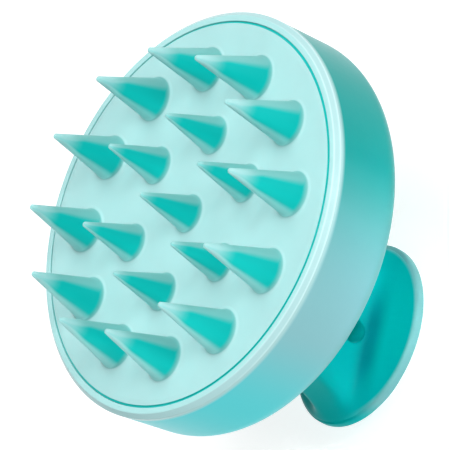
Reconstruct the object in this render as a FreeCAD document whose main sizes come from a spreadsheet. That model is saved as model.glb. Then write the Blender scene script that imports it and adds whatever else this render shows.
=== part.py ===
import FreeCAD, Part
import Sketcher
import math
import os

# Scalp massager brush, in millimetres, standing on its handle with the bristles up.
# Z = 0 is the palm face of the handle, and the Z axis is the axis of the round head.

SIZES = [
    # alias, value, what it is
    ("head_radius", 42.5, "outside radius of the round head"),
    ("head_front", 55.7, "height of the rim's front face"),
    ("side_height", 13.1, "straight part of the side wall"),
    ("side_draft", 0.5, "how far the side wall draws in from the rim to the rear corner"),
    ("back_round", 5.5, "rounding between side wall and back"),
    ("rim_width", 2.2, "width of the rim ring round the pad"),
    ("rim_round", 1.3, "rounding of the rim's outer edge"),
    ("wall", 2.4, "wall thickness of the mouldings"),
    ("ledge_width", 1.4, "ledge that carries the backing plate"),
    ("seat_radius", 27.0, "flat on the back where the neck sits"),
    ("seat_height", 33.6, "height of that flat"),
    ("pad_gap", 0.4, "groove between pad and rim"),
    ("pad_thickness", 4.2, "pad thickness at its edge"),
    ("pad_dish", 1.0, "how far the middle of the pad lies below its edge"),
    ("pad_land", 1.2, "flat margin outside the dish"),
    ("pad_edge_round", 0.5, "rounding of the pad's edge"),
    ("soft_gap", 0.3, "clearance between pieces that move apart"),
    ("plate_thickness", 2.6, "backing plate"),
    ("stud_circle", 23.0, "circle of the pad's studs"),
    ("stud_radius", 2.4, "stud of the pad"),
    ("stud_length", 5.0, "stud of the pad, below the pad"),
    ("boss_circle", 31.5, "circle of the screw bosses"),
    ("boss_radius", 3.4, "screw boss"),
    ("screw_radius", 1.25, "shank of every screw"),
    ("screw_head_radius", 2.7, "head of every screw"),
    ("screw_head_height", 1.6, "head of every screw"),
    ("screw_grip", 7.0, "length of thread in a boss"),
    ("screw_clearance", 0.25, "gap round a screw in a clearance hole"),
    ("neck_screw_circle", 9.0, "circle of the neck screws, round the spigot"),
    ("outer_ring", 30.0, "circle of the outer bristles' pivots"),
    ("outer_lean", 4.0, "inward lean of an outer bristle, in degrees"),
    ("outer_length", 16.3, "outer bristle, from pad to tip"),
    ("outer_base", 4.55, "outer bristle's radius at the pad"),
    ("outer_socket", 7.0, "radius of the ball that an outer bristle rolls on"),
    ("outer_surface", 55.28, "height of the dished pad at the outer bristles"),
    ("inner_ring", 16.5, "circle of the inner bristles"),
    ("inner_length", 13.3, "inner bristle, from pad to tip"),
    ("inner_base", 3.87, "inner bristle's radius at the pad"),
    ("inner_socket", 6.0, "radius of the ball that an inner bristle rolls on"),
    ("inner_surface", 54.87, "height of the dished pad at the inner bristles"),
    ("tip_radius", 0.45, "rounding of a bristle's tip"),
    ("handle_offset", 10.8, "how far the handle disc stands off the head's axis, towards -X"),
    ("disc_length", 20.1, "half length of the oval handle disc"),
    ("disc_width", 16.8, "half width of the handle disc"),
    ("disc_height", 2.8, "height of the middle of the joint between cap and neck"),
    ("disc_tilt", 6.4, "tilt of the disc about Y, in degrees: its -X end is nearer the head"),
    ("disc_edge", 2.3, "thickness of the neck's part of the disc at its edge"),
    ("disc_edge_round", 0.7, "rounding of the disc's two edges"),
    ("cap_inset", 4.6, "how far the cap draws in from the joint to the palm face"),
    ("palm_radius", 8.5, "shallow dish in the palm face"),
    ("palm_depth", 0.5, "depth of that dish"),
    ("waist_length", 13.5, "half length of the neck at its waist, along X"),
    ("waist_width", 5.6, "half width of the neck at its waist, along Y"),
    ("waist_height", 19.2, "height of the waist"),
    ("collar_length", 17.5, "half length of the neck where it meets the head"),
    ("collar_width", 11.5, "half width of the neck where it meets the head"),
    ("collar_offset", 8.0, "middle of that end, from the head's axis, towards -X"),
    ("core_height", 23.0, "top of the hollow in the neck"),
    ("core_inset", 1.6, "wall of the neck beside the hollow"),
    ("core_drop", 1.8, "wall of the disc below the flare"),
    ("hang_hole_radius", 2.6, "hanging hole across the neck"),
    ("hang_hole_height", 10.9, "height of its middle"),
    ("hang_hole_offset", 12.0, "its middle, from the head's axis, towards -X"),
    ("hang_hole_wall", 1.5, "wall of the tube round the hanging hole"),
    ("spigot_radius", 4.5, "locating spigot on top of the neck"),
]

OUTER_COUNT = 12
INNER_COUNT = 6
INNER_START = 45
STUD_COUNT = 6
STUD_START = 15
BOSS_COUNT = 4
BOSS_START = 45
NECK_SCREW_COUNT = 2

# How the neck's outline runs: powers of its flares, and how square its waist is. Towards
# the disc its two ends run out gently, like a ridge, and its two sides turn out late.
FOOT_END_FLARE = 1.8
FOOT_SIDE_FLARE = 12
FOOT_ROUNDING = 4
HEAD_FLARE = 4
WAIST_SQUARENESS = 5
OVAL_POINTS = 64
FLARE_STEPS = 12
CAP_STEPS = 4
CAP_CURVE = 0.75

doc = FreeCAD.newDocument("scalp_massager_brush")
sheet = doc.addObject("Spreadsheet::Sheet", "sizes")
for row, (alias, number, note) in enumerate(SIZES, start=1):
    sheet.set("A%d" % row, note)
    sheet.set("B%d" % row, str(number))
    sheet.setAlias("B%d" % row, alias)
doc.recompute()

# Heights and radii that several pieces share, as expressions of the sheet.
RIM_INNER = "(sizes.head_radius - sizes.rim_width)"
PAD_RADIUS = "(sizes.head_radius - sizes.rim_width - sizes.pad_gap)"
PAD_BOTTOM = "(sizes.head_front - sizes.pad_thickness)"
PLATE_TOP = "(sizes.head_front - sizes.pad_thickness - sizes.soft_gap)"
LEDGE = "(sizes.head_front - sizes.pad_thickness - sizes.soft_gap - sizes.plate_thickness)"
FLOOR = "(sizes.seat_height + sizes.wall)"
HEAD_HOLE = "(sizes.screw_head_radius + sizes.screw_clearance)"
SHANK_HOLE = "(sizes.screw_radius + sizes.screw_clearance)"


def bind(thing, **expressions):
    """Bind properties of an object to expressions; a double underscore stands for a dot."""
    for name, expression in expressions.items():
        thing.setExpression(name.replace("__", "."), expression)
    return thing


def origin_part(body, role):
    """One of a body's own origin planes or axes."""
    return [item for item in body.Origin.OriginFeatures if item.Role == role][0]


def new_sketch(body, name, plane, height=None):
    sketch = body.newObject("Sketcher::SketchObject", name)
    sketch.AttachmentSupport = [(origin_part(body, plane), "")]
    sketch.MapMode = "FlatFace"
    if height:
        bind(sketch, AttachmentOffset__Base__z=height)
    return sketch


def hold(sketch, geometry, point, across, up):
    """Fix one point of a sketch at two expressions, measured from the sketch's origin."""
    for kind, expression in (("DistanceX", across), ("DistanceY", up)):
        size = float(sketch.evalExpression(expression))
        index = sketch.addConstraint(Sketcher.Constraint(kind, -1, 1, geometry, point, size))
        sketch.setExpression("Constraints[%d]" % index, expression)


def draw_outline(sketch, corners):
    """Closed outline of straight sides through corners given as pairs of expressions."""
    places = []
    for across, up in corners:
        across_size = float(sketch.evalExpression(across))
        up_size = float(sketch.evalExpression(up))
        places.append(FreeCAD.Vector(across_size, up_size, 0))
    count = len(places)
    for side in range(count):
        sketch.addGeometry(Part.LineSegment(places[side], places[(side + 1) % count]))
    for side in range(count):
        sketch.addConstraint(Sketcher.Constraint("Coincident", side, 2, (side + 1) % count, 1))
    for side, (across, up) in enumerate(corners):
        hold(sketch, side, 1, across, up)


def draw_circle(sketch, across, up, radius):
    size = float(sketch.evalExpression(radius))
    place = FreeCAD.Vector(float(sketch.evalExpression(across)), float(sketch.evalExpression(up)), 0)
    circle = sketch.addGeometry(Part.Circle(place, FreeCAD.Vector(0, 0, 1), size))
    hold(sketch, circle, 3, across, up)
    index = sketch.addConstraint(Sketcher.Constraint("Radius", circle, size))
    sketch.setExpression("Constraints[%d]" % index, radius)


def turned_body(label, corners):
    """A body of revolution about Z, from the outline of its half section."""
    body = doc.addObject("PartDesign::Body", label)
    sketch = new_sketch(body, label + "_section", "XZ_Plane")
    draw_outline(sketch, corners)
    turn = body.newObject("PartDesign::Revolution", label + "_turn")
    turn.Profile = sketch
    turn.ReferenceAxis = (sketch, ["V_Axis"])
    turn.Angle = 360
    body.Tip = turn
    doc.recompute()
    return body


def ring_edges(feature, radius, height):
    """Names of the circular edges of a feature with one radius and height."""
    names = []
    for number, edge in enumerate(feature.Shape.Edges, start=1):
        if edge.Degenerated:
            continue
        curve = edge.Curve
        if isinstance(curve, Part.Circle) and abs(curve.Radius - radius) < 0.01:
            if abs(curve.Center.z - height) < 0.01:
                names.append("Edge%d" % number)
    return names


def round_edge(body, name, radius, height, rounding):
    """Round the circular edge found at two expressions."""
    base = body.Tip
    edges = ring_edges(base, float(base.evalExpression(radius)), float(base.evalExpression(height)))
    fillet = body.newObject("PartDesign::Fillet", name)
    fillet.Base = (base, edges)
    bind(fillet, Radius=rounding)
    body.Tip = fillet
    doc.recompute()


def ring_of(body, name, feature, count):
    """Repeat a feature evenly about Z."""
    pattern = body.newObject("PartDesign::PolarPattern", name)
    pattern.Originals = [feature]
    pattern.Axis = (origin_part(body, "Z_Axis"), [""])
    pattern.Angle = 360
    pattern.Occurrences = count
    body.Tip = pattern
    doc.recompute()


def ball_cut(body, name, radius, across, along, up):
    """Cut a ball out of a body, its centre at three expressions."""
    ball = body.newObject("PartDesign::SubtractiveSphere", name)
    ball.AttachmentSupport = [(origin_part(body, "XY_Plane"), "")]
    ball.MapMode = "FlatFace"
    bind(ball, Radius=radius, AttachmentOffset__Base__x=across,
         AttachmentOffset__Base__y=along, AttachmentOffset__Base__z=up)
    body.Tip = ball
    doc.recompute()
    return ball


def dish(body, name, radius, depth, face, way):
    """A shallow round dish in a flat face at a height; way is 1 if the face looks up, else -1."""
    ball = "((%s) ^ 2 + %s ^ 2) / (2 * %s)" % (radius, depth, depth)
    ball_cut(body, name, ball, "0", "0", "%s + %d * (%s - %s)" % (face, way, ball, depth))


def round_feature(body, name, kind, circle, start, radius, low, high):
    """A round post ("Pad") or hole ("Pocket") between two heights, off the axis by circle."""
    sketch = new_sketch(body, name + "_circle", "XY_Plane", low)
    turn = "%s deg" % start
    draw_circle(sketch, "(%s) * cos(%s)" % (circle, turn), "(%s) * sin(%s)" % (circle, turn), radius)
    feature = body.newObject("PartDesign::" + kind, name)
    feature.Profile = sketch
    feature.Reversed = kind == "Pocket"
    bind(feature, Length="(%s) - (%s)" % (high, low))
    body.Tip = feature
    doc.recompute()
    return feature


def head_shell():
    """The cup: rim ring, side wall, rounded rear edge, back and four screw bosses."""
    corner = "sizes.head_front - sizes.side_height - sizes.back_round"
    rear = "sizes.head_radius - sizes.side_draft"
    inner = RIM_INNER + " - sizes.ledge_width"
    body = turned_body("head_shell", [
        ("0", "sizes.seat_height"),
        ("sizes.seat_radius", "sizes.seat_height"),
        (rear, corner),
        ("sizes.head_radius", "sizes.head_front"),
        (RIM_INNER, "sizes.head_front"),
        (RIM_INNER, LEDGE),
        (inner, LEDGE),
        (inner, corner + " + sizes.wall"),
        ("sizes.seat_radius", FLOOR),
        ("0", FLOOR),
    ])
    round_edge(body, "rear_round", rear, corner, "sizes.back_round")
    round_edge(body, "rim_round", "sizes.head_radius", "sizes.head_front", "sizes.rim_round")
    boss = round_feature(body, "boss", "Pad", "sizes.boss_circle", BOSS_START,
                         "sizes.boss_radius", FLOOR, LEDGE)
    ring_of(body, "bosses", boss, BOSS_COUNT)
    pilot = round_feature(body, "pilot", "Pocket", "sizes.boss_circle", BOSS_START,
                          "sizes.screw_radius", LEDGE + " - sizes.screw_grip", LEDGE)
    ring_of(body, "pilots", pilot, BOSS_COUNT)
    round_feature(body, "spigot_hole", "Pocket", "sizes.collar_offset", 180,
                  "sizes.spigot_radius + sizes.screw_clearance", "sizes.seat_height", FLOOR)
    for name, circle in (("front", "sizes.neck_screw_circle - sizes.collar_offset"),
                         ("rear", "-sizes.neck_screw_circle - sizes.collar_offset")):
        round_feature(body, name + "_screw_hole", "Pocket", circle, 0, SHANK_HOLE,
                      "sizes.seat_height", FLOOR)
    return body


def bristle_socket(body, name, ring, surface, ball, base, angle):
    """The shallow spherical seat in the pad that one bristle rolls in."""
    return ball_cut(body, name, "%s + sizes.soft_gap" % ball,
                    "%s * cos(%s deg)" % (ring, angle), "%s * sin(%s deg)" % (ring, angle),
                    "%s + sqrt(%s ^ 2 - %s ^ 2)" % (surface, ball, base))


def bristle_pad():
    """The dished silicone pad with a seat for each bristle and six studs behind."""
    body = turned_body("bristle_pad", [
        ("0", PAD_BOTTOM),
        (PAD_RADIUS, PAD_BOTTOM),
        (PAD_RADIUS, "sizes.head_front"),
        ("0", "sizes.head_front"),
    ])
    dish(body, "pad_dish", PAD_RADIUS + " - sizes.pad_land", "sizes.pad_dish", "sizes.head_front", 1)
    round_edge(body, "pad_edge", PAD_RADIUS, "sizes.head_front", "sizes.pad_edge_round")
    stud = round_feature(body, "stud", "Pad", "sizes.stud_circle", STUD_START, "sizes.stud_radius",
                         PAD_BOTTOM + " - sizes.stud_length", PAD_BOTTOM + " + 0.5")
    ring_of(body, "studs", stud, STUD_COUNT)
    outer = bristle_socket(body, "outer_seat", "sizes.outer_ring", "sizes.outer_surface",
                           "sizes.outer_socket", "sizes.outer_base", 0)
    ring_of(body, "outer_seats", outer, OUTER_COUNT)
    inner = bristle_socket(body, "inner_seat", "sizes.inner_ring", "sizes.inner_surface",
                           "sizes.inner_socket", "sizes.inner_base", INNER_START)
    ring_of(body, "inner_seats", inner, INNER_COUNT)
    bristle_socket(body, "centre_seat", "0", "sizes.head_front - sizes.pad_dish",
                   "sizes.inner_socket", "sizes.inner_base", 0)
    return body


def bristle(label, ring, angle, lean, surface, length, base, ball):
    """One conical bristle. Its own origin is the middle of the ball that its root rolls on."""
    rise = "sqrt(%s ^ 2 - %s ^ 2)" % (ball, base)
    taper = "atan((%s - sizes.tip_radius) / %s)" % (base, length)
    root = doc.addObject("Part::Sphere", label + "_root")
    bind(root, Radius=ball, Angle2="-asin(%s / %s)" % (rise, ball))
    root.Angle1 = -90
    cone = doc.addObject("Part::Cone", label + "_cone")
    bind(cone, Radius1=base, Radius2="sizes.tip_radius * cos(%s)" % taper,
         Height="%s - sizes.tip_radius * (1 - sin(%s))" % (length, taper),
         Placement__Base__z="-" + rise)
    tip = doc.addObject("Part::Sphere", label + "_tip")
    bind(tip, Radius="sizes.tip_radius", Angle1=taper,
         Placement__Base__z="%s - sizes.tip_radius - %s" % (length, rise))
    tip.Angle2 = 90
    whole = doc.addObject("Part::MultiFuse", label)
    whole.Shapes = [root, cone, tip]
    whole.Refine = True
    around = FreeCAD.Rotation(FreeCAD.Vector(0, 0, 1), angle)
    tilt = FreeCAD.Rotation(FreeCAD.Vector(0, 1, 0), -lean)
    whole.Placement = FreeCAD.Placement(FreeCAD.Vector(0, 0, 0), around * tilt)
    bind(whole, Placement__Base__x="%s * cos(%s deg)" % (ring, angle),
         Placement__Base__y="%s * sin(%s deg)" % (ring, angle),
         Placement__Base__z="%s + %s" % (surface, rise))
    return whole


def bristles():
    pieces = []
    lean = float(sheet.get("outer_lean"))
    for number in range(OUTER_COUNT):
        pieces.append(bristle("outer_bristle_%02d" % (number + 1), "sizes.outer_ring",
                              number * 360 / OUTER_COUNT, lean, "sizes.outer_surface",
                              "sizes.outer_length", "sizes.outer_base", "sizes.outer_socket"))
    for number in range(INNER_COUNT):
        pieces.append(bristle("inner_bristle_%02d" % (number + 1), "sizes.inner_ring",
                              INNER_START + number * 360 / INNER_COUNT, 0, "sizes.inner_surface",
                              "sizes.inner_length", "sizes.inner_base", "sizes.inner_socket"))
    pieces.append(bristle("centre_bristle", "0", 0, 0, "sizes.head_front - sizes.pad_dish",
                          "sizes.inner_length", "sizes.inner_base", "sizes.inner_socket"))
    return pieces


def backing_plate():
    """Rigid plate behind the pad: six stud holes and four counterbored screw holes."""
    body = turned_body("backing_plate", [
        ("0", LEDGE),
        (RIM_INNER + " - sizes.screw_clearance", LEDGE),
        (RIM_INNER + " - sizes.screw_clearance", PLATE_TOP),
        ("0", PLATE_TOP),
    ])
    stud_hole = round_feature(body, "stud_hole", "Pocket", "sizes.stud_circle", STUD_START,
                              "sizes.stud_radius + sizes.soft_gap", LEDGE, PLATE_TOP)
    ring_of(body, "stud_holes", stud_hole, STUD_COUNT)
    screw_hole = round_feature(body, "screw_hole", "Pocket", "sizes.boss_circle", BOSS_START,
                               SHANK_HOLE, LEDGE, PLATE_TOP)
    ring_of(body, "screw_holes", screw_hole, BOSS_COUNT)
    head_hole = round_feature(body, "head_hole", "Pocket", "sizes.boss_circle", BOSS_START,
                              HEAD_HOLE, PLATE_TOP + " - sizes.screw_head_height", PLATE_TOP)
    ring_of(body, "head_holes", head_hole, BOSS_COUNT)
    return body


def screw(name, circle, angle, seat, length, offset):
    """A pan-head screw with a cross recess, its head sitting at the height seat."""
    head = doc.addObject("Part::Cylinder", name + "_head")
    bind(head, Radius="sizes.screw_head_radius", Height="sizes.screw_head_height")
    shank = doc.addObject("Part::Cylinder", name + "_shank")
    bind(shank, Radius="sizes.screw_radius", Height=length, Placement__Base__z="-(%s)" % length)
    solid = doc.addObject("Part::MultiFuse", name + "_blank")
    solid.Shapes = [head, shank]
    slots = []
    for side in ("x", "y"):
        long_side, short_side = ("Length", "Width") if side == "x" else ("Width", "Length")
        slot = doc.addObject("Part::Box", name + "_slot_" + side)
        bind(slot, **{long_side: "1.2 * sizes.screw_head_radius",
                      short_side: "0.25 * sizes.screw_head_radius",
                      "Height": "sizes.screw_head_height",
                      "Placement__Base__x": "-Length / 2",
                      "Placement__Base__y": "-Width / 2",
                      "Placement__Base__z": "0.4 * sizes.screw_head_height"})
        slots.append(slot)
    recess = doc.addObject("Part::MultiFuse", name + "_recess")
    recess.Shapes = slots
    whole = doc.addObject("Part::Cut", name)
    whole.Base = solid
    whole.Tool = recess
    bind(whole, Placement__Base__x="%s * cos(%s deg) - %s" % (circle, angle, offset),
         Placement__Base__y="%s * sin(%s deg)" % (circle, angle), Placement__Base__z=seat)
    return whole


def screw_group(label, circle, count, start, seat, length, offset):
    """Identical screws round a point at -offset along X, as one group of separate solids."""
    screws = []
    for number in range(count):
        name = "%s_%d" % (label, number + 1)
        screws.append(screw(name, circle, start + number * 360 / count, seat, length, offset))
    group = doc.addObject("Part::Compound", label)
    group.Links = screws
    return group


def size(alias):
    """A size of the sheet as a number."""
    return float(sheet.get(alias))


def oval(middle, tilt, half_length, half_width, squareness):
    """A closed smooth curve: an ellipse when squareness is 2, nearer a rectangle above that."""
    turn = FreeCAD.Rotation(FreeCAD.Vector(0, 1, 0), tilt)
    points = []
    for step in range(OVAL_POINTS):
        angle = 2 * math.pi * step / OVAL_POINTS
        swell = (abs(math.cos(angle)) ** squareness + abs(math.sin(angle)) ** squareness) ** (-1 / squareness)
        flat = FreeCAD.Vector(half_length * swell * math.cos(angle), half_width * swell * math.sin(angle), 0)
        points.append(middle + turn.multVec(flat))
    curve = Part.BSplineCurve()
    curve.interpolate(points, PeriodicFlag=True)
    return Part.Wire(curve.toShape())


def oval_stack(name, ovals):
    """A smooth solid through ovals, held as one object."""
    stack = doc.addObject("Part::Feature", name)
    stack.Shape = Part.makeLoft([oval(*item) for item in ovals], True, False)
    stack.Placement = FreeCAD.Placement()
    return stack


def neck_oval(height, drop, inset):
    """The neck's cross-section at a height, drawn in by inset and moved down by drop.

    Below the waist it flares to the disc, above the waist to the head."""
    low = size("disc_height") + size("disc_edge")
    high = size("seat_height")
    waist = size("waist_height")
    fall = min(1, max(0, (waist - height - drop) / (waist - low)))
    down = fall ** FOOT_SIDE_FLARE
    up = max(0, (height + drop - waist) / (high - waist)) ** HEAD_FLARE
    climb = min(1, max(0, (height - low) / (high - low)))
    half_length = size("waist_length") - inset
    half_length += ((size("disc_length") - size("disc_edge_round") - size("waist_length"))
                    * fall ** FOOT_END_FLARE)
    half_length += (size("collar_length") - size("waist_length")) * up
    half_width = size("waist_width") - inset
    half_width += (size("disc_width") - size("disc_edge_round") - size("waist_width")) * down
    half_width += (size("collar_width") - size("waist_width")) * up
    offset = size("handle_offset") + (size("collar_offset") - size("handle_offset")) * climb ** 2
    squareness = 2 + WAIST_SQUARENESS * (1 - fall ** FOOT_ROUNDING) * (1 - up)
    middle = FreeCAD.Vector(-offset, 0, height)
    return middle, size("disc_tilt") * (1 - climb), half_length, half_width, squareness


def neck_heights(low, high):
    """Heights of the sections, closer together where the flare turns fastest."""
    waist = size("waist_height")
    steps = [(step / FLARE_STEPS) for step in range(FLARE_STEPS + 1)]
    heights = [low + (waist - low) * step ** 1.6 for step in steps]
    if high > waist:
        heights += [waist + (high - waist) * step ** 0.5 for step in steps[1:]]
    return heights


def cross_post(name, radius):
    """A round post across the neck, along Y, on the hanging hole's axis."""
    post = doc.addObject("Part::Cylinder", name)
    post.Placement.Rotation = FreeCAD.Rotation(FreeCAD.Vector(1, 0, 0), 90)
    bind(post, Radius=radius, Height="2 * sizes.disc_width",
         Placement__Base__x="-sizes.hang_hole_offset", Placement__Base__y="sizes.disc_width",
         Placement__Base__z="sizes.hang_hole_height")
    return post


def handle_neck():
    """The neck with its half of the disc, hollow from below, with a hanging hole across it."""
    low = size("disc_height") + size("disc_edge")
    flare = oval_stack("neck_flare", [neck_oval(height, 0, 0)
                                      for height in neck_heights(low, size("seat_height"))])
    ring = doc.addObject("Part::Ellipse", "disc_ring")
    ring.Placement.Rotation = FreeCAD.Rotation(FreeCAD.Vector(0, 1, 0), size("disc_tilt"))
    bind(ring, MajorRadius="sizes.disc_length", MinorRadius="sizes.disc_width",
         Placement__Base__x="-sizes.handle_offset", Placement__Base__z="sizes.disc_height")
    slab = doc.addObject("Part::Extrusion", "disc_slab")
    slab.Base = ring
    slab.DirMode = "Normal"
    slab.Solid = True
    bind(slab, LengthFwd="sizes.disc_edge")
    doc.recompute()
    rounding = size("disc_edge_round")
    edge = doc.addObject("Part::Fillet", "disc_rim")
    edge.Base = slab
    edge.Edges = [(number, rounding, rounding) for number, line in enumerate(slab.Shape.Edges, start=1)
                  if line.isClosed()]
    spigot = doc.addObject("Part::Cylinder", "neck_spigot")
    bind(spigot, Radius="sizes.spigot_radius", Height="sizes.wall",
         Placement__Base__x="-sizes.collar_offset", Placement__Base__z="sizes.seat_height")
    solid = doc.addObject("Part::MultiFuse", "neck_solid")
    solid.Shapes = [flare, edge, spigot]
    heights = neck_heights(size("disc_height"), size("waist_height")) + [size("core_height")]
    core = oval_stack("neck_core", [neck_oval(height, size("core_drop"), size("core_inset"))
                                    for height in heights])
    tube = cross_post("hang_tube", "sizes.hang_hole_radius + sizes.hang_hole_wall")
    hollow = doc.addObject("Part::Cut", "neck_hollow")
    hollow.Base = core
    hollow.Tool = tube
    tools = [hollow, cross_post("hang_hole", "sizes.hang_hole_radius")]
    for number in range(NECK_SCREW_COUNT):
        pilot = doc.addObject("Part::Cylinder", "neck_pilot_%d" % number)
        angle = number * 360 / NECK_SCREW_COUNT
        bind(pilot, Radius="sizes.screw_radius", Height="sizes.screw_grip",
             Placement__Base__x="sizes.neck_screw_circle * cos(%s deg) - sizes.collar_offset" % angle,
             Placement__Base__y="sizes.neck_screw_circle * sin(%s deg)" % angle,
             Placement__Base__z="sizes.seat_height - sizes.screw_grip")
        tools.append(pilot)
    cuts = doc.addObject("Part::MultiFuse", "neck_cuts")
    cuts.Shapes = tools
    neck = doc.addObject("Part::Cut", "handle_neck")
    neck.Base = solid
    neck.Tool = cuts
    return neck


def handle_cap():
    """The palm side of the disc: it rounds in from the tilted joint to a flat, dished face."""
    ovals = []
    for step in range(CAP_STEPS + 1):
        down = step / CAP_STEPS
        inset = size("disc_edge_round") + size("cap_inset") * down * (CAP_CURVE + (1 - CAP_CURVE) * down)
        middle = FreeCAD.Vector(-size("handle_offset"), 0, size("disc_height") * (1 - down))
        ovals.append((middle, size("disc_tilt") * (1 - down), size("disc_length") - inset,
                      size("disc_width") - inset, 2))
    blank = oval_stack("cap_blank", ovals)
    ball = "(sizes.palm_radius ^ 2 + sizes.palm_depth ^ 2) / (2 * sizes.palm_depth)"
    palm = doc.addObject("Part::Sphere", "palm_ball")
    bind(palm, Radius=ball, Placement__Base__x="-sizes.handle_offset",
         Placement__Base__z="sizes.palm_depth - " + ball)
    cap = doc.addObject("Part::Cut", "handle_cap")
    cap.Base = blank
    cap.Tool = palm
    return cap


PIECES = [head_shell(), bristle_pad()] + bristles()
PIECES += [backing_plate(), handle_neck(), handle_cap()]
PIECES.append(screw_group("plate_screws", "sizes.boss_circle", BOSS_COUNT, BOSS_START,
                          PLATE_TOP + " - sizes.screw_head_height", "sizes.screw_grip", "0"))
PIECES.append(screw_group("neck_screws", "sizes.neck_screw_circle", NECK_SCREW_COUNT, 0,
                          FLOOR, "sizes.screw_grip + sizes.wall", "sizes.collar_offset"))
doc.recompute()

for thing in doc.Objects:
    for word in ("Invalid", "Error"):
        if word in thing.State:
            raise RuntimeError("%s failed to build" % thing.Label)
os.makedirs("parts", exist_ok=True)
for piece in PIECES:
    shape = piece.Shape
    if shape.isNull() or not shape.isValid():
        raise RuntimeError("%s has no valid shape" % piece.Label)
    shape.exportStep("parts/%s.step" % piece.Label)
    print(piece.Label, len(shape.Solids), round(shape.Volume, 1))
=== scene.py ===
import math

import bmesh
import bpy
from mathutils import Matrix, Vector


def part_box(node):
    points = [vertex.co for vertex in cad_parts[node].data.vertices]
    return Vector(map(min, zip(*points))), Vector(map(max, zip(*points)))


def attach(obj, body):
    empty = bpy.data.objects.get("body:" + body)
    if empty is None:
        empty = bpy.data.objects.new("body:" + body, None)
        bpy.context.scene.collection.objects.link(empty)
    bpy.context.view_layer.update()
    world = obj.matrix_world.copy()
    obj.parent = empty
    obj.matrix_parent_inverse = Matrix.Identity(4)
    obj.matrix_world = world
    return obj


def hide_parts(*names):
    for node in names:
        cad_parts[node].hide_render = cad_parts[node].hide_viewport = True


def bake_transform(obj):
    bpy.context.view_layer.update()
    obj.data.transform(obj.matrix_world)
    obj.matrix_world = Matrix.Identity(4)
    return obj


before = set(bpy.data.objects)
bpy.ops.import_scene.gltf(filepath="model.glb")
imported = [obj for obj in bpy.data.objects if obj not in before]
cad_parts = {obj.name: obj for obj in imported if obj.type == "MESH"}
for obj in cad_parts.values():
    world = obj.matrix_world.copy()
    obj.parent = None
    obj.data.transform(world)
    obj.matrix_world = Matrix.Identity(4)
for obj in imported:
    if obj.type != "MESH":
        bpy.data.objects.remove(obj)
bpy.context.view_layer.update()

MM = 0.001

# ---------------------------------------------------------------- camera

CAMERA_PLACE = Vector((-0.2384, -0.6101, 0.5774))
CAMERA_RIGHT = Vector((0.1384, -0.6815, -0.7186))
CAMERA_UP = Vector((0.949, -0.1162, 0.293))
CAMERA_BACK = Vector((-0.2832, -0.7225, 0.6307))
LENS_MM = 336.3
SENSOR_MM = 36
CLIP_START = 0.05


def add_camera():
    """The photograph's camera, as fitted to the rim's circle and the bristles."""
    camera = bpy.data.objects.new("camera", bpy.data.cameras.new("camera"))
    bpy.context.scene.collection.objects.link(camera)
    camera.data.sensor_width = SENSOR_MM
    camera.data.lens = LENS_MM
    camera.data.clip_start = CLIP_START
    turn = Matrix.Identity(4)
    for column, axis in enumerate((CAMERA_RIGHT, CAMERA_UP, CAMERA_BACK)):
        for row in range(3):
            turn[row][column] = axis[row]
    turn.translation = CAMERA_PLACE
    camera.matrix_world = turn
    bpy.context.scene.camera = camera


add_camera()

# ---------------------------------------------------------------- sizes, in millimetres

SHELL_LOW, SHELL_HIGH = (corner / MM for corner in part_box("head_shell"))
FRONT = SHELL_HIGH.z                      # the rim's front face
SEAT = SHELL_LOW.z                        # the flat on the head's back
HEAD_RADIUS = 42.5
SIDE_DRAFT = 0.5
RIM_INNER = 40.3
BEVEL = 0.95                              # round the rim's outer edge
BEVEL_START = HEAD_RADIUS - BEVEL
BEVEL_ROUND = 0.35
RIM_ROUND = 0.2                           # along the rim's inner edge
LEDGE = FRONT - 7.1                       # where the backing plate rests
LEDGE_WIDTH = 1.4
WALL = 2.4
REAR_CORNER = FRONT - 18.6
REAR_ROUND = 5.5
SEAT_RADIUS = 27.0
SEAT_ROUND = 14
INSIDE_ROUND = 3
AXIS_GAP = 0.5                            # a turned outline starts this far from the axis
HEAD_ARC, PAD_ARC = 12, 6                 # steps in each rounded corner
TURNED_SPOKES = 256
LONGEST_STEP = 3                          # between two rings of a turned outline

PAD_RADIUS = 39.9
PAD_THICKNESS = 4.2
PAD_DISH = 1.0
PAD_LAND = 1.2                            # the flat ring round the dish
PAD_EDGE = PAD_RADIUS - PAD_LAND
PAD_BACK = FRONT - PAD_THICKNESS
PAD_LIP = RIM_INNER - 0.06                # the pad just fills the shell below the groove
PAD_EDGE_ROUND = 0.6
PAD_EDGE_START = PAD_EDGE - 0.8           # where the dish gives way to that rounding
PAD_BACK_ROUND = 0.4
PAD_BACK_FLAT = PAD_RADIUS - 3
GROOVE_DEPTH = 0.3
GROOVE_ROUNDS = (0.12, 0.1, 0.08)         # at the top edge, the foot and the lip
DISH_STEPS = 24
STUDS = 6
STUD_CIRCLE = 23.0
STUD_RADIUS = 2.4
STUD_LENGTH = 5.0
STUD_START = 15
STUD_END = ((0.8, 0), (0.4, 0.1), (0.12, 0.35), (0, 0.8))    # inset and height of each ring
STUD_OVERLAP = 0.3                        # how far a stud reaches into the pad

# label, count, ring's radius, first angle, lean, length, root's radius, radius of its ball seat
BRISTLE_RINGS = (("outer_bristle_%02d", 12, 30.0, 0, 4, 16.3, 4.55, 7.0),
                 ("inner_bristle_%02d", 6, 16.5, 45, 0, 13.3, 3.87, 6.0))
CENTRE_LENGTH, CENTRE_BASE = 13.3, 3.87
BRISTLE_SPOKES = 40
ROOT = 0.8                                # reach of the soft root, outwards and upwards
ROOT_STEPS = 8
ROOT_SUNK = 0.5                           # how far the root's skin goes on into the pad
CONE_STEPS = 12
TIP_RADIUS = 0.45
TIP_STEPS = 6

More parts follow.
